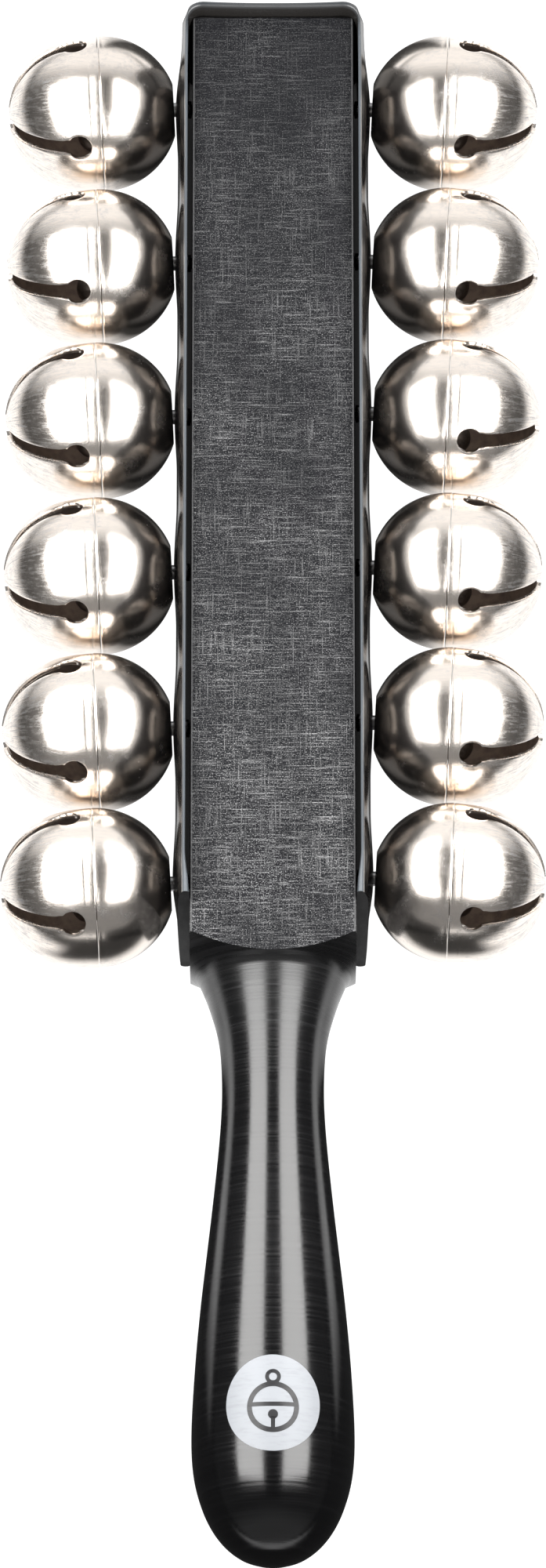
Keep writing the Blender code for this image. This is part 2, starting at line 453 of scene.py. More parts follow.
@dataclass(frozen=True)
class NickelFinish:
    """Nickel plate over pressed steel, with polishing streaks that run from the pole."""

    name: str
    colour: Point = (0.93, 0.85, 0.775)
    stain: Point = (0.36, 0.38, 0.42)
    roughness: float = 0.195
    dulling: float = 0.24
    grain_depth: float = 0.000006
    streaks: float = 1.0

    def material(self) -> bpy.types.Material:
        """Make the material."""
        recipe = Recipe(self.name)
        x, y, z = recipe.split(recipe.place)
        x = recipe.sum("ABSOLUTE", x)
        around = recipe.times(recipe.sum("ARCTAN2", z, y), 9.0)
        fan = recipe.add("ShaderNodeCombineXYZ", around, recipe.times(x, 90.0), 0.0).outputs[0]
        streak = recipe.noise(recipe.shifted(fan), 4.0, 5.0, 0.65)
        cloud = recipe.noise(recipe.shifted(recipe.place), 210.0, 6.0, 0.68)
        grain = recipe.noise(recipe.place, 2600.0, 2.0, 0.6)
        blot = recipe.noise(recipe.shifted(recipe.place), 900.0, 4.0, 0.7)
        outer = recipe.span(x, 0.003, 0.0135, 0.15, self.streaks)
        mark = recipe.times(recipe.span(streak, 0.42, 0.68), outer)
        tone = recipe.larger(mark, recipe.span(cloud, 0.5, 0.72, 0.0, 0.6))
        tone = recipe.times(tone, recipe.span(blot, 0.36, 0.56, 0.25, 1.0))
        recipe.feed(
            COLOUR=recipe.blend(recipe.times(tone, 0.8), self.colour, self.stain),
            ROUGHNESS=recipe.sum("MULTIPLY_ADD", tone, self.dulling, self.roughness),
            NORMAL=recipe.relief(mark, self.grain_depth, recipe.relief(grain, self.grain_depth)),
        )
        recipe.set(METALLIC=1.0)
        return recipe.material


@dataclass(frozen=True)
class InsideShadeFinish:
    """Painted shade: the inside of a bell in a dull dark brown."""

    name: str
    colour: Point = (0.22, 0.16, 0.125)

    def material(self) -> bpy.types.Material:
        """Make the material."""
        recipe = Recipe(self.name)
        cloud = recipe.noise(recipe.place, 420.0, 4.0, 0.6)
        dull = tuple(0.6 * part for part in self.colour)
        recipe.feed(
            COLOUR=recipe.blend(recipe.span(cloud, 0.4, 0.7), self.colour, dull),
            NORMAL=recipe.relief(cloud, 0.00002),
        )
        recipe.set(ROUGHNESS=0.6, SPECULAR=0.25)
        return recipe.material


@dataclass(frozen=True)
class SteelFinish:
    """Plain steel for the pellets and the screws."""

    name: str
    colour: Point = (0.42, 0.40, 0.38)
    roughness: float = 0.32

    def material(self) -> bpy.types.Material:
        """Make the material."""
        recipe = Recipe(self.name)
        cloud = recipe.noise(recipe.place, 900.0, 4.0, 0.6)
        dull = tuple(0.55 * part for part in self.colour)
        low, high = self.roughness - 0.07, self.roughness + 0.12
        recipe.feed(
            COLOUR=recipe.blend(recipe.span(cloud, 0.4, 0.7), self.colour, dull),
            ROUGHNESS=recipe.span(cloud, 0.3, 0.7, low, high),
            NORMAL=recipe.relief(cloud, 0.00001),
        )
        recipe.set(METALLIC=1.0)
        return recipe.material


@dataclass(frozen=True)
class StrapFinish:
    """Glossy black strap: smooth faces and matte ends where it was cut, with a painted blue-grey highlight
    along the front rim and a painted lighter tone where it lies over the head.
    """

    name: str
    colour: Point = (0.0022, 0.0022, 0.0026)
    roughness: float = 0.12
    cut: bool = False
    shine: float = 0.85
    # rim: colour of a painted highlight along the strap's front edge, standing in for light on its rounded
    # edge.
    rim: Point = (0.085, 0.098, 0.112)
    # under: a painted lighter brownish-grey tone, standing in for light where the strap lies over the head.
    under: Point = (0.040, 0.037, 0.035)
    front: float = (AXIS_Z + 20.0) * MM
    head: tuple[float, float] = (0.153, 0.158)
    inner: tuple[float, float] = (0.1600, 0.1602)

    def material(self) -> bpy.types.Material:
        """Make the material."""
        recipe = Recipe(self.name)
        pebble = recipe.noise(recipe.place, 1400.0, 3.0, 0.5)
        wave = recipe.drawn((40.0, 14.0, 40.0), 2.0)
        weave = recipe.drawn((900.0, 900.0, 260.0), 3.0, 0.6)
        height = weave if self.cut else pebble
        pale = tuple(2.2 * part for part in self.colour)
        y, z = recipe.split(recipe.place)[1:]
        # Painted highlight: the front rim is blended toward the pale rim colour, less over the head, and made
        # rougher.
        rim = recipe.span(z, self.front - 0.0010, self.front - 0.0002)
        rim = recipe.times(rim, recipe.span(y, *self.head, 1.0, 0.3))
        # Painted light: the strap is blended toward the under colour from y 0.153 up to 0.160, over the head.
        under = recipe.times(recipe.span(y, *self.head), recipe.span(y, *self.inner, 1.0, 0.0))
        tone = recipe.blend(recipe.span(height, 0.45, 0.75), self.colour, pale)
        tone = recipe.blend(under, tone, self.under)
        even = recipe.span(wave, 0.35, 0.7, self.roughness - 0.03, self.roughness + 0.08)
        recipe.feed(
            COLOUR=recipe.blend(rim, tone, self.rim),
            ROUGHNESS=recipe.sum("MULTIPLY_ADD", rim, 0.3, even),
            NORMAL=recipe.relief(height, 0.00004 if self.cut else 0.000006),
        )
        recipe.set(SPECULAR=self.shine)
        return recipe.material


@dataclass(frozen=True)
class BlockFinish:
    """Black-stained wood, sanded across: pale cross scratches over a faint lengthwise grain, with a painted
    highlight along the front side edges, and the marks made stronger toward the grip as painted light.
    """

    name: str
    colour: Point = (0.0055, 0.0058, 0.0074)
    scratch: Point = (0.33, 0.33, 0.335)
    roughness: float = 0.58
    # rim_x and rim_z place a painted highlight along the block's front side edges.
    rim_x: tuple[float, float] = (0.0158, 0.01605)
    rim_z: tuple[float, float] = (AXIS_Z * MM + 0.0156, AXIS_Z * MM + 0.0161)
    # wear is painted light, not wear: it makes the marks fainter toward the head and stronger toward the
    # grip.
    wear: tuple[float, float, float, float] = (0.16, -0.03, 0.36, 1.25)

    def material(self) -> bpy.types.Material:
        """Make the material."""
        recipe = Recipe(self.name)
        across = recipe.drawn((150.0, 3600.0, 900.0), 4.0, 0.62)
        fine = recipe.drawn((800.0, 5600.0, 1500.0), 3.0, 0.6)
        along = recipe.drawn((3600.0, 110.0, 600.0), 4.0, 0.6)
        speck = recipe.noise(recipe.place, 3900.0, 2.0, 0.6)
        patch = recipe.drawn((75.0, 48.0, 60.0), 4.0, 0.6)
        lines = recipe.larger(recipe.span(across, 0.54, 0.7), recipe.span(fine, 0.56, 0.74, 0.0, 0.9))
        lines = recipe.larger(lines, recipe.span(along, 0.56, 0.72, 0.0, 0.75))
        lines = recipe.times(lines, recipe.span(speck, 0.36, 0.6, 0.15, 1.0))
        lines = recipe.larger(lines, recipe.span(speck, 0.56, 0.72))
        x, y, z = recipe.split(recipe.place)
        # The patchy marks vary at random; the wear span on top of them is painted light, lighter toward the
        # grip.
        worn = recipe.times(recipe.span(patch, 0.36, 0.62, 0.45, 1.0), recipe.span(y, *self.wear))
        # Painted highlight: a pale speckled line along the front side edges.
        rim = recipe.span(recipe.sum("ABSOLUTE", x), *self.rim_x)
        rim = recipe.times(rim, recipe.span(z, *self.rim_z, 0.0, 0.4))
        rim = recipe.times(rim, recipe.span(speck, 0.3, 0.55, 0.5, 1.0))
        mark = recipe.larger(recipe.times(lines, worn), rim)
        recipe.feed(
            COLOUR=recipe.blend(mark, self.colour, self.scratch),
            ROUGHNESS=recipe.span(mark, 0.0, 1.0, self.roughness, self.roughness + 0.16),
            NORMAL=recipe.relief(speck, 0.00002, recipe.relief(across, 0.00003)),
        )
        recipe.set(SPECULAR=0.12)
        return recipe.material


@dataclass(frozen=True)
class GripFinish:
    """Black satin lacquer over turned wood, with lathe lines round the grip."""

    name: str
    colour: Point = (0.0018, 0.0018, 0.0021)
    ring_colour: Point = (0.014, 0.014, 0.0155)
    roughness: float = 0.15
    neck: tuple[float, float] = (-0.072, -0.046)

    def material(self) -> bpy.types.Material:
        """Make the material."""
        recipe = Recipe(self.name)
        rings = recipe.drawn((26.0, 1900.0, 26.0), 5.0, 0.62)
        broad = recipe.drawn((14.0, 420.0, 14.0), 3.0, 0.6)
        speck = recipe.noise(recipe.place, 3000.0, 2.0, 0.6)
        neck = recipe.span(recipe.split(recipe.place)[1], *self.neck)
        mark = recipe.times(recipe.span(rings, 0.52, 0.76), recipe.span(neck, 0.0, 1.0, 0.35, 1.0))
        even = recipe.span(rings, 0.3, 0.75, self.roughness - 0.03, self.roughness + 0.09)
        under = recipe.relief(rings, 0.000012, recipe.relief(broad, 0.00002))
        recipe.feed(
            COLOUR=recipe.blend(recipe.times(mark, 0.7), self.colour, self.ring_colour),
            ROUGHNESS=recipe.sum("MULTIPLY_ADD", neck, 0.1, even),
            NORMAL=recipe.relief(speck, 0.000003, under),
        )
        recipe.set(SPECULAR=1.0)
        return recipe.material


@dataclass(frozen=True)
class PrintFinish:
    """Screen-printed ink on the grip."""

    name: str
    colour: Point = (0.34, 0.355, 0.38)
    roughness: float = 0.42

    def material(self) -> bpy.types.Material:
        """Make the material."""
        recipe = Recipe(self.name)
        mottle = recipe.drawn((300.0, 1500.0, 300.0), 3.0, 0.6)
        worn = tuple(0.86 * part for part in self.colour)
        low, high = self.roughness - 0.05, self.roughness + 0.1
        recipe.feed(
            COLOUR=recipe.blend(recipe.span(mottle, 0.5, 0.8), self.colour, worn),
            ROUGHNESS=recipe.span(mottle, 0.3, 0.7, low, high),
            NORMAL=recipe.relief(mottle, 0.000004),
        )
        return recipe.material


@dataclass
class TurnedBody:
    """The square wooden block and the grip turned on its lower end, in one piece."""

    half: float = 16.4
    corner: float = 0.7
    top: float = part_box("body_handle")[1].y / MM
    end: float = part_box("body_handle")[0].y / MM
    head_ease: float = 0.7
    columns: int = 36
    shoulder: tuple[Station, ...] = (
        (-36.8, 23.6), (-37.77, 22.2), (-38.6, 20.9), (-39.33, 19.7), (-40.0, 18.5), (-40.6, 17.4),
        (-41.1, 16.4), (-41.9, 15.3),
    )
    turned: tuple[Station, ...] = (
        (-41.9, 15.3), (-42.9, 14.6), (-46.3, 13.2), (-49.6, 12.1), (-52.95, 11.15), (-56.5, 10.5),
        (-60.9, 10.15), (-66.3, 10.05), (-72.2, 10.3), (-79.05, 10.85), (-88.85, 11.85), (-98.65, 12.95),
        (-108.45, 14.05), (-118.25, 14.95), (-127.1, 15.55), (-133.95, 15.85), (-139.35, 15.8),
        (-143.8, 15.35), (-147.7, 14.45), (-151.45, 13.1), (-154.75, 11.3), (-157.5, 9.0), (-159.6, 6.2),
        (-160.75, 3.2), (-161.25, 0.0),
    )

    def flank(self, degrees: float, inset: float = 0.0) -> float:
        """Distance from the axis to the block's side.

        Args:
            degrees: Direction round the axis.
            inset: How far the sides are drawn in.

        Returns:
            The distance in millimetres.
        """
        off = abs((degrees + 45.0) % 90.0 - 45.0)
        half = self.half - inset
        if half * math.tan(math.radians(off)) <= half - self.corner:
            return half / math.cos(math.radians(off))
        base = (half - self.corner) * math.sqrt(2.0)
        turn = math.radians(45.0 - off)
        return base * math.cos(turn) + math.sqrt(self.corner**2 - (base * math.sin(turn)) ** 2)

    def shoulder_radius(self, y: float) -> float:
        """Radius of the turned shoulder at a place along the axis."""
        return read_line(self.shoulder, y, self.shoulder[0][1])

    def shoulder_edge(self, radius: float) -> float:
        """Where the shoulder's curve comes out through a side at this distance from the axis."""
        return read_line([(r, y) for y, r in self.shoulder], radius, self.shoulder[0][0])

    def profile(self) -> list[Station]:
        """The grip's stations with smooth ones added between them."""
        marks = self.turned[1:-1]
        fine = []
        for i in range(len(marks) - 1):
            before, here = marks[max(i - 1, 0)], marks[i]
            after, beyond = marks[i + 1], marks[min(i + 2, len(marks) - 1)]
            for step in range(5):
                t = step / 5.0
                fine.append(tuple(0.5 * (2 * b + (c - a) * t + (2 * a - 5 * b + 4 * c - d) * t * t
                                         + (3 * b - a - 3 * c + d) * t**3)
                                  for a, b, c, d in zip(before, here, after, beyond)))
        return fine + [marks[-1], (self.end + 0.08, 1.6)]

    def radius_at(self, y: float) -> float:
        """Radius of the grip at a place along the axis."""
        return read_line(self.profile(), y, 0.0)

    def directions(self) -> list[float]:
        """Directions round the axis, close together at the block's corners."""
        steps = []
        for i in range(self.columns):
            t = 2.0 * i / self.columns - 1.0
            steps.append(45.0 * (t - 0.32 * math.sin(math.pi * t) / math.pi * -1.0))
        return [quarter * 90.0 + step for quarter in range(4) for step in steps]

    def place(self, degrees: float, radius: float, y: float) -> Point:
        """A point at a distance from the axis."""
        t = math.radians(degrees)
        return (radius * math.sin(t), y, AXIS_Z + radius * math.cos(t))

    def mesh(self) -> bpy.types.Object:
        """Build the piece."""
        sketch = Sketch()
        ways = self.directions()
        rows = []
        for step in range(5):
            t = math.radians(22.5 * step)
            inset = self.head_ease * (1.0 - math.sin(t))
            y = self.top - self.head_ease * (1.0 - math.cos(t))
            rows.append(sketch.ring([self.place(a, self.flank(a, inset), y) for a in ways]))
        start = self.top - self.head_ease
        for step in range(1, 31):
            part = step / 30.0
            rows.append(sketch.ring([
                self.place(a, self.flank(a), start + (self.shoulder_edge(self.flank(a)) - start) * part)
                for a in ways
            ]))
        flat_rows = len(rows)
        foot = self.shoulder[-1][0]
        for step in range(1, 6):
            ring = []
            for a in ways:
                edge = self.shoulder_edge(self.flank(a))
                y = edge + (foot - edge) * step / 5.0
                ring.append(self.place(a, min(self.flank(a), self.shoulder_radius(y)), y))
            rows.append(sketch.ring(ring))
        for y, radius in self.profile():
            rows.append(sketch.ring([self.place(a, radius, y) for a in ways]))
        for i, (first, second) in enumerate(zip(rows, rows[1:])):
            sketch.bridge(first, second, slot=0 if i < flat_rows - 1 else 1)
        sketch.fan(rows[0], (0.0, self.top, AXIS_Z))
        sketch.fan(rows[-1], (0.0, self.end, AXIS_Z), 1)
        return sketch.make("block_and_grip", 28.0)

    def build(self) -> None:
        """Make and dress the piece."""
        finishes = [BlockFinish("stained_block").material(), GripFinish("turned_grip").material()]
        publish(self.mesh(), "frame", finishes, ["body_handle"])


@dataclass
class PrintedDisc:
    """The white disc printed on the grip, with a plain picture of a bell in place of any mark."""

    grip: TurnedBody
    centre_y: float = -132.7
    radius: float = 9.6
    lift: float = 0.05

    def on_grip(self, u: float, v: float, lift: float) -> Point:
        """Lay a flat point on the grip.

        Args:
            u: Distance round the grip from its front.
            v: Distance along it from the disc's centre.
            lift: Height above the surface.

        Returns:
            The point in millimetres.
        """
        y = self.centre_y + v
        radius = self.grip.radius_at(y) + lift
        return (radius * math.sin(u / radius), y, AXIS_Z + radius * math.cos(u / radius))

    def patch(self, name: str, outline: list[Station], lift: float, rings: int = 10) -> bpy.types.Object:
        """Lay a filled shape on the grip.

        Args:
            name: Name of the piece.
            outline: Its corners, round a middle that sees them all.
            lift: Height of its face above the surface.
            rings: Rings of faces between the middle and the outline.

        Returns:
            The new object.
        """
        middle_u = sum(u for u, _ in outline) / len(outline)
        middle_v = sum(v for _, v in outline) / len(outline)
        sketch = Sketch()
        rows = []
        for ring in range(rings, 0, -1):
            part = ring / rings
            rows.append(sketch.ring([
                self.on_grip(middle_u + (u - middle_u) * part, middle_v + (v - middle_v) * part, lift)
                for u, v in outline
            ]))
        base = sketch.ring([self.on_grip(u, v, -0.05) for u, v in outline])
        sketch.bridge(base, rows[0])
        for first, second in zip(rows, rows[1:]):
            sketch.bridge(first, second)
        sketch.fan(rows[-1], self.on_grip(middle_u, middle_v, lift))
        sketch.fan(base[::-1], self.on_grip(middle_u, middle_v, -0.05))
        return sketch.make(name, 60.0)

    def stroke(self, name: str, path: list[Station], width: float, closed: bool) -> bpy.types.Object:
        """Lay a printed line on the grip.

        Args:
            name: Name of the piece.
            path: The points that the line follows.
            width: Its width.
            closed: Whether it joins up with its start.

        Returns:
            The new object.
        """
        sketch = Sketch()
        count = len(path)
        rows = []
        for i, (u, v) in enumerate(path):
            before = path[i - 1] if i or closed else path[0]
            after = path[(i + 1) % count] if i < count - 1 or closed else path[-1]
            du, dv = after[0] - before[0], after[1] - before[1]
            size = math.hypot(du, dv)
            side = (-dv / size * width / 2, du / size * width / 2)
            edges = [(u + side[0] * k, v + side[1] * k) for k in (-1.0, -0.33, 0.33, 1.0)]
            top = [self.on_grip(a, b, self.lift + 0.03) for a, b in edges]
            rows.append(sketch.ring(top + [self.on_grip(a, b, -0.04) for a, b in reversed(edges)]))
        for first, second in zip(rows, rows[1:]):
            sketch.bridge(first, second)
        if closed:
            sketch.bridge(rows[-1], rows[0])
        else:
            sketch.face(tuple(rows[0]))
            sketch.face(tuple(rows[-1]))
        return sketch.make(name, 60.0)

    def picture(self) -> list[bpy.types.Object]:
        """A small round bell in plain lines: body, waist band, slot with its round end, and loop."""
        size = 4.6
        drop = -0.9
        body = circle(size, 72, drop)
        loop = circle(1.15, 36, size + drop + 1.45)
        dot = circle(0.5, 24, drop - 1.5)
        band = [(-size + 2 * size * i / 12, 0.55 + drop) for i in range(13)]
        slot = [(0.0, -1.5 + drop - (size - 1.6) * i / 6) for i in range(7)]
        return [
            self.stroke("print_body", body, 1.0, True),
            self.stroke("print_loop", loop, 0.75, True),
            self.stroke("print_dot", dot, 0.95, True),
            self.stroke("print_band", band, 0.85, False),
            self.stroke("print_slot", slot, 0.8, False),
        ]

    def build(self) -> None:
        """Make and dress the disc and the picture."""
        white = PrintFinish("white_ink").material()
        dark = PrintFinish("dark_ink", (0.020, 0.020, 0.022), 0.3).material()
        disc = self.patch("print_disc", circle(self.radius, 144), self.lift, 14)
        publish(disc, "frame", [white], [])
        for line in self.picture():
            publish(line, "frame", [dark], [])


@dataclass
class FoldedStrap:
    """The strap folded over the head and down both sides, standing off the block at mid-width."""

    thickness: float = 1.3
    half_width: float = 20.0
    side: float = 17.2
    top: float = 159.35
    rise: float = 0.35
    corner: float = 3.0
    bow: float = 0.95
    bow_at_bell: float = 1.45
    end_front: float = -30.3
    end_back: float = -32.7
    edge: float = 0.85
    snug: float = 0.74
    thin: float = 0.5

    def screws(self, side: Side) -> list[float]:
        """Places of one row's screws along the strap."""
        boxes = [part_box("bell_%s%d_screw" % (side.letter, number)) for number in range(1, 7)]
        return [(low.y + high.y) / 2 / MM for low, high in boxes]

    def bow_at(self, places: list[float], y: float) -> float:
        """How far the strap's middle stands off at a place along a leg.

        Args:
            places: Where this leg's screws are.
            y: The place along the leg.

        Returns:
            The distance in millimetres.
        """
        amount = self.bow
        for place in places:
            away = abs(y - place)
            if away < 13.0:
                more = 0.5 + 0.5 * math.cos(math.pi * away / 13.0)
                amount = self.bow + (self.bow_at_bell - self.bow) * more
        return amount * smooth_step(0.0, 1.0, (self.top - 3.0 - y) / 12.0)

    def section(self) -> list[Station]:
        """The strap's cross-section: place across the width, and share of the thickness."""
        flat = self.half_width - self.edge
        across = [flat * math.sin(math.pi / 2 * (i / 12.0 - 1.0)) for i in range(25)]
        inner = [(p, 0.0) for p in across]
        outer = [(p, 1.0) for p in reversed(across)]
        bend = [math.radians(180.0 * i / 8 - 90.0) for i in range(1, 8)]
        high = [(flat + self.edge * math.cos(t), 0.5 + 0.5 * math.sin(t)) for t in bend]
        low = [(-p, 1.0 - q) for p, q in high]
        return inner + high + outer + low

    def hold(self, w: float) -> float:
        """How closely the inner face lies to the block: along the rear edge, but not along the front one."""
        return w**4 * smooth_step(0.97, 0.4, w)

    def depth(self, w: float, turned: float = 1.0) -> float:
        """The strap's thickness, less near a leg's front edge, where the outer face curves in.

        Args:
            w: Place across the width, from -1 to 1.
            turned: 0 over the head and 1 on a leg.

        Returns:
            The thickness in millimetres.
        """
        return self.thickness * (1.0 - self.thin * turned * smooth_step(0.8, 1.0, w))

    def stand_off(self, places: list[float], w: float, y: float, share: float) -> float:
        """How far a point of a leg stands out from the leg's plain line.

        Args:
            places: Where this leg's screws are.
            w: Place across the width, from -1 to 1.
            y: Place along the leg.
            share: 0 on the inner face and 1 on the outer one.

        Returns:
            The distance in millimetres.
        """
        loose = smooth_step(0.0, 1.0, (y - self.end_front) / 9.0)
        bow = self.bow_at(places, y) * (1.0 - w * w)
        near = bow * loose - self.snug * (1.0 - loose + loose * self.hold(w))
        far = bow * (0.35 + 0.65 * loose) + self.depth(w)
        return near + (far - near) * share

    def path(self) -> list[tuple[float, float, float, float, float]]:
        """The line of the inner face: x, y, normal, and whether it is a leg."""
        turn_x = self.side - self.corner
        turn_y = self.top + self.rise - self.corner
        half = []
        for i in range(12):
            x = turn_x * i / 12
            half.append((x, self.top + self.rise * (x / turn_x) ** 2.3, 0.0, 1.0, 0.0))
        for i in range(10):
            t = math.radians(10.0 * i)
            sine, cosine = math.sin(t), math.cos(t)
            half.append((turn_x + self.corner * sine, turn_y + self.corner * cosine, sine, cosine, 0.0))
        last = self.end_front + 3.0
        count = 126
        half += [
            (self.side, turn_y + (last - turn_y) * i / count, 1.0, 0.0, 1.0) for i in range(1, count + 1)
        ]
        half.append((self.side, -1000.0, 1.0, 0.0, 1.0))
        left = [(-x, y, -nx, ny, leg) for x, y, nx, ny, leg in half]
        return left[:0:-1] + half

    def mesh(self) -> bpy.types.Object:
        """Build the strap."""
        sketch = Sketch()
        section = self.section()
        rows = []
        places = {side.value: self.screws(side) for side in Side}
        for x, y, nx, ny, leg in self.path():
            ring = []
            for p, q in section:
                w = p / self.half_width
                here = y
                if y < -900.0:
                    here = self.end_back + (self.end_front - self.end_back) * (w + 1.0) / 2.0
                turned = smooth_step(0.6, 1.0, abs(nx))
                out = self.depth(w, turned) * q - self.snug * turned * self.hold(w) * (1.0 - q)
                if leg:
                    out = self.stand_off(places[1 if x > 0 else -1], w, here, q)
                ring.append((x + nx * out, here + ny * out, AXIS_Z + p))
            rows.append(sketch.ring(ring))
        for first, second in zip(rows, rows[1:]):
            sketch.bridge(first, second)
        count = len(section)
        for row in (rows[0], rows[-1]):
            for i in range(24):
                sketch.face((row[i], row[i + 1], row[55 - i], row[56 - i]), 1)
            sketch.face(tuple(row[24:33]), 1)
            sketch.face(tuple([row[56 + i] for i in range(count - 56)] + [row[0]]), 1)
        return sketch.make("strap_band", 40.0)

    def build(self) -> None:
        """Make and dress the strap."""
        finishes = [
            StrapFinish("glossy_strap").material(),
            # The cut ends carry the same painted rim highlight, in a darker grey.
            StrapFinish("cut_end", (0.011, 0.011, 0.0115), 0.5, True, 0.12, (0.02, 0.02, 0.021)).material(),
        ]
        publish(self.mesh(), "frame", finishes, ["strap"])


@dataclass
class JingleBell:
    """One round bell: a plain cup, a slotted crown, a loose pellet and the screw that holds it."""

    radius: float = 15.875
    wall: float = 0.95
    seam: float = 35.3
    crown_centre: float = 38.4
    cup_pole: float = 20.35
    hole: float = 1.8
    slot_half: float = 1.36
    key_radius: float = 2.55
    key_place: float = 23.3
    tip: float = 2.3
    columns: int = 14
    bead: float = 0.02
    lean: float = 3.2

    def slot_width(self, s: float) -> float:
        """Half the slot's width at a distance from the pole, measured over the dome."""
        past = s - self.key_place
        if past >= self.key_radius:
            return 0.0
        if past < -self.key_radius:
            round_end = 0.0
        else:
            round_end = math.sqrt(self.key_radius**2 - past**2)
        if past > 0.0:
            return round_end
        flare = 0.28 * math.exp(-(((past + 2.35) / 0.9) ** 2))
        return max(self.slot_half + flare * (past < -1.6), round_end)

    def taper(self, x: float) -> float:
        """How much the crown draws in at a distance from the seam."""
        band = self.crown_centre - self.seam
        slope = 0.05
        if x < band:
            return slope * max(x, 0.0)
        past = min(x - band, 2.0)
        full = slope * (band + past - past * past / 4.0)
        return full * (1.0 - smooth_step(band + 2.0, band + self.radius, x))

    def stations(self) -> list[float]:
        """Distances from the pole at which the dome has a row of points."""
        rows = [self.tip, self.tip + 0.25]
        rows += [2.9 + i * 1.2 for i in range(15)]
        low = self.key_place - self.key_radius
        rows += [low - 0.55, low - 0.25, low + 0.02]
        rows += [self.key_place - self.key_radius * math.cos(math.radians(t)) for t in range(20, 181, 10)]
        end = self.radius * math.pi / 2 + self.crown_centre - self.seam
        rows += [s for s in (26.1, 26.45, 26.8) if s < end - 0.4]
        rows += [end - 0.35, end - 0.16, end - 0.03]
        return sorted(rows)

    def crown(self) -> bpy.types.Object:
        """The slotted outer half, with its pole along +X and the seam at x = 0."""
        sketch = Sketch()
        quarter = self.radius * math.pi / 2
        rows = self.stations()
        end = rows[-1]
        for petal in range(4):
            lines = []
            for s in rows:
                polar = min(s, quarter) / self.radius
                groove = 0.07 * smooth_step(end - 0.2, end, s)
                x = self.crown_centre - self.seam + self.radius * math.cos(polar) - max(0.0, s - quarter)
                r = (self.radius - groove) * math.sin(polar) - self.taper(x) * math.sin(polar)
                half = self.slot_width(s)
                edge = math.asin(min(0.99, half / r))
                line = []
                for c in range(self.columns + 1):
                    t = c / self.columns
                    t = t - 0.1 * math.sin(2 * math.pi * t)
                    angle = math.radians(45.0 + 90.0 * petal) + edge + (math.pi / 2 - 2 * edge) * t
                    line.append((x, -r * math.sin(angle), r * math.cos(angle)))
                lines.append(sketch.ring(line))
            for first, second in zip(lines, lines[1:]):
                sketch.bridge(first, second, closed=False)
        obj = sketch.make("crown_shape", 180.0)
        self.thicken(obj)
        return obj

    def cup(self) -> bpy.types.Object:
        """The plain inner half, with a flat and a screw hole at its pole and a bead at its rim."""
        first = math.degrees(math.acos((self.seam - self.cup_pole) / self.radius))
        line = [(self.cup_pole - self.seam, r) for r in (self.hole, 2.4, 3.2, 4.0)]
        for i in range(37):
            t = math.radians(first + (87.9 - first) * i / 36)
            line.append((-self.radius * math.cos(t), self.radius * math.sin(t)))
        bead = self.radius + self.bead
        line += [(-0.46, bead - 0.008), (-0.38, bead), (-0.26, bead)]
        line += [(-0.14, bead - 0.02), (-0.04, bead - 0.12)]
        sketch = Sketch()
        count = 72
        rings = []
        for x, r in line:
            turns = [2 * math.pi * j / count for j in range(count)]
            rings.append(sketch.ring([(x, -r * math.sin(t), r * math.cos(t)) for t in turns]))
        for one, two in zip(rings, rings[1:]):
            sketch.bridge(one, two)
        obj = sketch.make("cup_shape", 180.0)
        self.thicken(obj)
        return obj

    def thicken(self, obj: bpy.types.Object) -> None:
        """Give a shell its wall and ease the edges that the press left."""
        work = bmesh.new()
        work.from_mesh(obj.data)
        outward = sum(face.normal.dot(face.calc_center_median()) * face.calc_area() for face in work.faces)
        if outward < 0.0:
            bmesh.ops.reverse_faces(work, faces=work.faces)
        work.to_mesh(obj.data)
        work.free()
        wall = obj.modifiers.new("wall", "SOLIDIFY")
        wall.thickness = self.wall * MM
        wall.offset = -1.0
        wall.use_even_offset = False
        wall.material_offset = 1
        ease = obj.modifiers.new("ease", "BEVEL")
        ease.width = 0.2 * MM
        ease.segments = 2
        ease.limit_method = "ANGLE"
        ease.angle_limit = math.radians(50.0)

    def pellet(self) -> bpy.types.Object:
        """The loose steel ball, tumbled to a slightly uneven skin with a worn belt."""
        lo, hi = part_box("bell_r1_pellet")
        size = (hi.z - lo.z) / 2 / MM
        work = bmesh.new()
        bmesh.ops.create_icosphere(work, subdivisions=4, radius=1.0)
        for vert in work.verts:
            way = vert.co.normalized()
            dent = 0.012 * noise.noise(way * 2.3) + 0.008 * noise.noise(way * 6.1)
            belt = 0.014 * math.exp(-((way.x / 0.12) ** 2))
            vert.co = way * size * MM * (0.985 + dent - belt)
        mesh = bpy.data.meshes.new("pellet_shape")
        work.to_mesh(mesh)
        work.free()
        mesh.shade_smooth()
        return bpy.data.objects.new("pellet_shape", mesh)

    def screw(self) -> bpy.types.Object:
        """The screw through the cup: threaded end, collar, shank and a domed head with a cross recess."""
        return ScrewShape(axis_start=8.0).object("screw_shape")


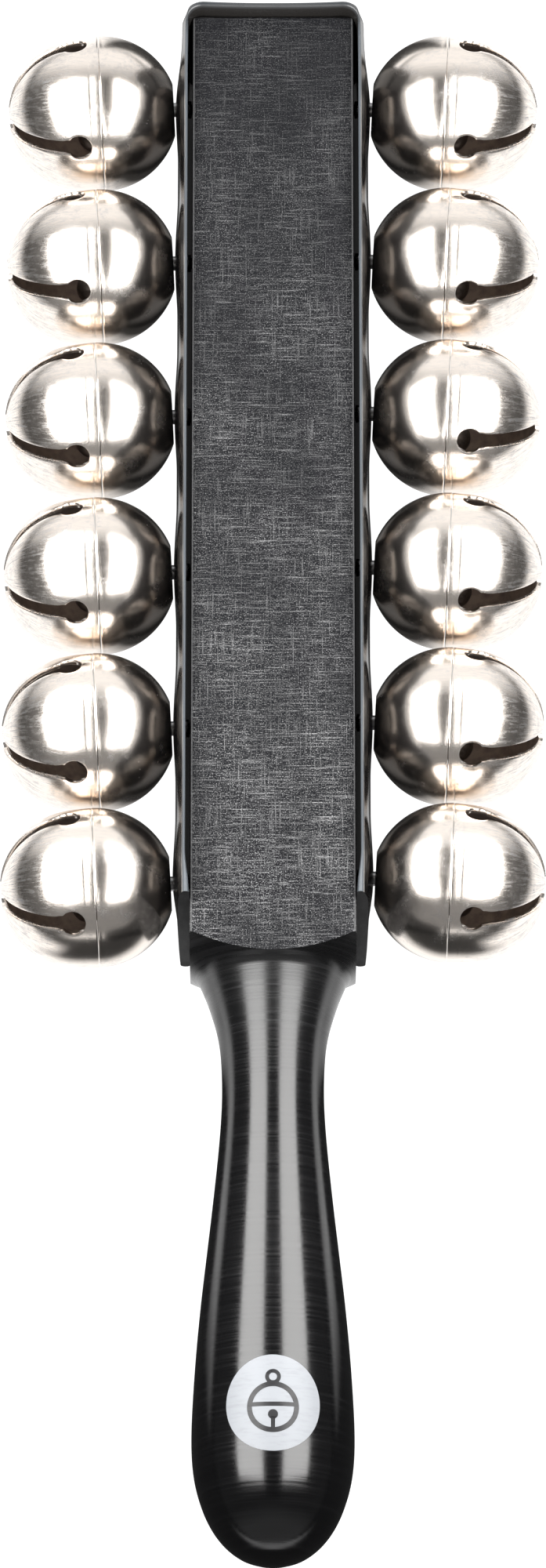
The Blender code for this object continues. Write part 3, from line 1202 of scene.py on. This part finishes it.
@dataclass
class ScrewShape:
    """A screw along X: a thread as close rings, a collar, a shank, and a head with a cross recess."""

    axis_start: float
    collar: tuple[float, float] = (8.7, 10.3)
    head: tuple[float, float] = (13.75, 15.25)
    thread_radius: float = 1.2
    shank_radius: float = 1.45
    head_radius: float = 2.95
    collar_radius: float = 1.8
    count: int = 40

    def outline(self) -> list[Station]:
        """Stations along the axis: place and radius."""
        line = [(0.05, 0.25), (0.9, 0.7), (1.8, self.thread_radius)]
        pitch = 0.9
        x = 2.2
        root = self.thread_radius * 0.78
        while x < self.collar[0] - 0.7:
            line += [(x, self.thread_radius), (x + 0.25, root), (x + 0.6, root)]
            x += pitch
        if self.collar_radius:
            line += [(self.collar[0], self.thread_radius), (self.collar[0], self.collar_radius - 0.15)]
            line += [(self.collar[0] + 0.15, self.collar_radius), (self.collar[1] - 0.15, self.collar_radius)]
            line += [(self.collar[1], self.collar_radius - 0.15), (self.collar[1], self.shank_radius)]
        line += [(self.head[0], self.shank_radius), (self.head[0], self.head_radius - 0.12)]
        line += [(self.head[0] + 0.12, self.head_radius), (self.head[0] + 0.3, self.head_radius)]
        return line

    def recess(self, u: float, v: float) -> float:
        """Depth of the cross recess under a place on the head."""
        def bar(a: float, b: float) -> float:
            return smooth_step(0.42, 0.30, abs(a)) if abs(b) < 1.55 else 0.0
        return 0.8 * max(bar(u, v), bar(v, u)) * smooth_step(1.6, 1.3, math.hypot(u, v))

    def object(self, name: str) -> bpy.types.Object:
        """Make the screw.

        Args:
            name: Name of the new object.

        Returns:
            The object, with the screw's tip at axis_start.
        """
        sketch = Sketch()
        turns = [2 * math.pi * j / self.count for j in range(self.count)]
        rings = []
        for x, r in self.outline():
            place = self.axis_start + x
            rings.append(sketch.ring([(place, -r * math.sin(t), r * math.cos(t)) for t in turns]))
        dome = self.head[1] - self.head[0] - 0.3
        for i in range(1, 15):
            part = 1.0 - i / 15.0
            ring = []
            for t in turns:
                u, v = -self.head_radius * part * math.sin(t), self.head_radius * part * math.cos(t)
                x = self.head[0] + 0.3 + dome * (1.0 - part**2.4) - self.recess(u, v) * min(1.0, dome)
                ring.append((self.axis_start + x, u, v))
            rings.append(sketch.ring(ring))
        for first, second in zip(rings, rings[1:]):
            sketch.bridge(first, second)
        sketch.fan(rings[0][::-1], (self.axis_start, 0.0, 0.0))
        deep = self.head[1] - self.recess(0.0, 0.0) * min(1.0, dome)
        sketch.fan(rings[-1], (self.axis_start + deep, 0.0, 0.0))
        return sketch.make(name, 50.0)


@dataclass
class BellRow:
    """Six bells down one side of the block."""

    side: Side
    turns: tuple[float, ...]
    bell: JingleBell
    parts: dict[str, bpy.types.Object]
    finishes: dict[str, bpy.types.Material]

    def copy(self, part: str, number: int, place: Matrix) -> bpy.types.Object:
        """Make one bell's own copy of a part, in its place."""
        source = self.parts[part]
        name = "%s_%s%d" % (part, self.side.name.lower(), number)
        mesh = source.data.copy()
        middle = Matrix.Translation(place.translation)
        mesh.transform(middle.inverted() @ place)
        obj = bpy.data.objects.new(name, mesh)
        bpy.context.scene.collection.objects.link(obj)
        for old in source.modifiers:
            new = obj.modifiers.new(old.name, old.type)
            for prop in COPIED_SETTINGS:
                if hasattr(old, prop):
                    setattr(new, prop, getattr(old, prop))
        obj.matrix_world = middle
        return obj

    def build(self) -> None:
        """Make, place and dress every part of every bell."""
        for number, turn in enumerate(self.turns, 1):
            stem = "bell_%s%d_" % (self.side.letter, number)
            low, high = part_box(stem + "screw")
            hold = Vector((0.0, (low.y + high.y) / 2, (low.z + high.z) / 2))
            way = self.side.value
            facing = Matrix.Rotation(math.pi, 4, "Z") if self.side is Side.LEFT else Matrix.Identity(4)
            place = (
                Matrix.Translation(hold + Vector((way * self.bell.cup_pole * MM, 0.0, 0.0)))
                @ Matrix.Rotation(-way * math.radians(self.bell.lean), 4, "Z")
                @ Matrix.Translation((way * (self.bell.seam - self.bell.cup_pole) * MM, 0.0, 0.0))
                @ Matrix.Rotation(math.radians(turn), 4, "X")
                @ facing
            )
            for part, slot in (("cup", "bell_cup"), ("crown", "bell_crown"), ("screw", "screw_steel")):
                where = Matrix.Translation(hold) @ facing if part == "screw" else place
                obj = self.copy(part, number, where)
                dress = [self.finishes[part]]
                if part != "screw":
                    dress.append(self.finishes["inside"])
                publish(obj, "frame", dress, [stem + part])
            low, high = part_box(stem + "pellet")
            roll = 0.7 * number + self.side.value
            tilt = Matrix.Rotation(roll, 4, "Y") @ Matrix.Rotation(1.3 * number, 4, "Z")
            obj = self.copy("pellet", number, Matrix.Translation((low + high) / 2) @ tilt)
            body = "pellet_%s%d" % (self.side.letter, number)
            publish(obj, body, [self.finishes["pellet"]], [stem + "pellet"])


def build_bells() -> None:
    """Make the parts of one bell and set out both rows."""
    bell = JingleBell()
    parts = {"cup": bell.cup(), "crown": bell.crown(), "pellet": bell.pellet(), "screw": bell.screw()}
    finishes = {
        "cup": NickelFinish("nickel_cup", streaks=0.0).material(),
        "crown": NickelFinish("nickel_crown").material(),
        "inside": InsideShadeFinish("bell_inside").material(),
        "pellet": SteelFinish("pellet_steel", (0.16, 0.13, 0.11), 0.45).material(),
        "screw": SteelFinish("zinc_screw", (0.55, 0.55, 0.56), 0.28).material(),
    }
    BellRow(Side.LEFT, (4.6, -4.3, 3.3, 2.7, 4.5, -0.1), bell, parts, finishes).build()
    BellRow(Side.RIGHT, (3.8, -2.0, -6.4, -3.1, -5.1, 0.1), bell, parts, finishes).build()
    for obj in parts.values():
        bpy.data.objects.remove(obj)


def build_strap_screw() -> None:
    """The low-headed screw that holds the strap's middle to the head of the block."""
    low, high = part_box("strap_screw")
    length = (high.y - low.y) / MM
    shape = ScrewShape(
        axis_start=0.0,
        collar=(length - 0.9, 0.0),
        head=(length - 0.38, length - 0.01),
        shank_radius=1.2,
        thread_radius=1.2,
        head_radius=2.55,
        collar_radius=0.0,
    )
    obj = shape.object("head_screw")
    obj.matrix_world = Matrix.Translation((0.0, low.y, AXIS_Z * MM)) @ Matrix.Rotation(math.pi / 2, 4, "Z")
    finish = SteelFinish("black_screw", (0.10, 0.10, 0.105), 0.3).material()
    publish(obj, "frame", [finish], ["strap_screw"])


@dataclass
class Studio:
    """The floor, the two soft boxes, the surroundings and the camera."""

    tilt: float = 19.5
    distance: float = 1.701
    lens: float = 196.02
    target: Point = (0.0, -0.001, 0.020)
    box_height: float = 0.29
    box_inner: float = 0.067
    box_outer: float = 0.34
    box_low: float = -0.235
    box_high: float = 0.30
    box_glow: float = 5.6
    floor_glow: float = 1.1

    def camera(self) -> None:
        """Set up the camera."""
        data = bpy.data.cameras.new("camera")
        data.lens = self.lens
        data.sensor_width = 36.0
        data.clip_end = 20.0
        cam = bpy.data.objects.new("camera", data)
        bpy.context.scene.collection.objects.link(cam)
        t = math.radians(self.tilt)
        back = Vector((0.0, -math.sin(t), math.cos(t)))
        cam.location = Vector(self.target) + back * self.distance
        cam.rotation_mode = "QUATERNION"
        cam.rotation_quaternion = (-back).to_track_quat("-Z", "Y")
        bpy.context.scene.camera = cam

    def soft_boxes(self) -> None:
        """Hang a soft box on each side, with a gap between them over the object."""
        width = self.box_outer - self.box_inner
        length = self.box_high - self.box_low
        for side in Side:
            data = bpy.data.lights.new("soft_box_" + side.name.lower(), "AREA")
            data.shape = "RECTANGLE"
            data.size = width
            data.size_y = length
            data.energy = self.box_glow * math.pi * width * length
            data.color = (1.0, 0.995, 0.985)
            lamp = bpy.data.objects.new(data.name, data)
            bpy.context.scene.collection.objects.link(lamp)
            middle = (self.box_outer + self.box_inner) / 2
            lamp.location = (side.value * middle, (self.box_low + self.box_high) / 2, self.box_height)
            lamp.visible_camera = False

    def floor(self) -> None:
        """Lay a wide floor that glows evenly pale to the camera and lights the object from below; in
        reflections it glows only in painted zones beside the bells and far past the grip's end, and is nearly
        black elsewhere.
        """
        sketch = Sketch()
        count = 96
        rings = []
        for r in (120.0, 400.0, 1000.0, 3000.0):
            turns = [2 * math.pi * j / count for j in range(count)]
            rings.append(sketch.ring([(r * math.cos(t), r * math.sin(t), 0.0) for t in turns]))
        for first, second in zip(rings, rings[1:]):
            sketch.bridge(first, second)
        sketch.fan(rings[0], (0.0, 0.0, 0.0))
        obj = sketch.make("floor")
        obj.location.z = CAD_LOW.z - 0.00002
        recipe = Recipe("pale_floor")
        # Painted reflections: the masks below pick the zones where glossy rays see the floor glow; elsewhere
        # reflections of the floor are nearly black.
        x, y, _ = recipe.split(recipe.place)
        away = recipe.sum("ABSOLUTE", x)
        wide = recipe.times(recipe.span(away, 0.048, 0.062), recipe.span(y, -0.105, -0.07))
        beyond = recipe.larger(recipe.span(y, -0.056, -0.044), recipe.span(y, -0.32, -0.24, 1.0, 0.0))
        clear = recipe.larger(recipe.span(away, 0.024, 0.036), recipe.span(y, -0.036, -0.03, 1.0, 0.0))
        near = recipe.times(clear, recipe.larger(wide, beyond))
        near = recipe.times(near, recipe.span(away, 0.11, 0.2, 1.0, 0.0))
        path = recipe.tree.nodes.new("ShaderNodeLightPath")
        painted_glow_share = recipe.larger(near, recipe.sum("SUBTRACT", 1.0, path.outputs["Is Glossy Ray"]))
        recipe.feed(COLOUR=recipe.blend(painted_glow_share, (0.004, 0.004, 0.004), (0.09, 0.09, 0.09)))
        recipe.set(GLOW=(1.0, 1.0, 1.0, 1.0))
        recipe.feed(GLOW_STRENGTH=recipe.span(painted_glow_share, 0.0, 1.0, 0.03, self.floor_glow))
        recipe.set(ROUGHNESS=0.9, SPECULAR=0.0)
        obj.data.materials.append(recipe.material)

    def surroundings(self) -> None:
        """A room that looks white, and lights the object from beyond the head and beyond the grip."""
        world = bpy.data.worlds.new("room")
        bpy.context.scene.world = world
        world.use_nodes = True
        room = Graph(world.node_tree)
        x, y, _ = room.split(room.add("ShaderNodeTexCoord").outputs["Generated"])
        sides = room.span(room.sum("ABSOLUTE", x), 0.5, 0.9, 0.02, 0.07)
        beyond_head = room.span(y, 0.45, 0.85, 0.0, 1.05)
        beyond_grip = room.span(y, -0.5, -0.8, 0.0, 0.2)
        glow = room.sum("ADD", room.sum("ADD", sides, beyond_head), beyond_grip)
        camera = room.add("ShaderNodeLightPath").outputs["Is Camera Ray"]
        back = room.tree.nodes["Background"]
        room.plug(back.inputs["Strength"], room.larger(glow, camera))
        back.inputs["Color"].default_value = (1.0, 1.0, 1.0, 1.0)

    def build(self) -> None:
        """Set up everything that isn't the object."""
        self.floor()
        self.soft_boxes()
        self.surroundings()
        self.camera()
        settings = bpy.context.scene.view_settings
        settings.view_transform = "Standard"
        settings.look = "None"
        log.info("studio ready")


def main() -> None:
    """Build the whole scene."""
    logging.basicConfig(level=logging.INFO, format="%(name)s: %(message)s")
    Studio().build()
    body = TurnedBody()
    body.build()
    PrintedDisc(body).build()
    FoldedStrap().build()
    build_bells()
    build_strap_screw()


if __name__ == "__main__":
    main()
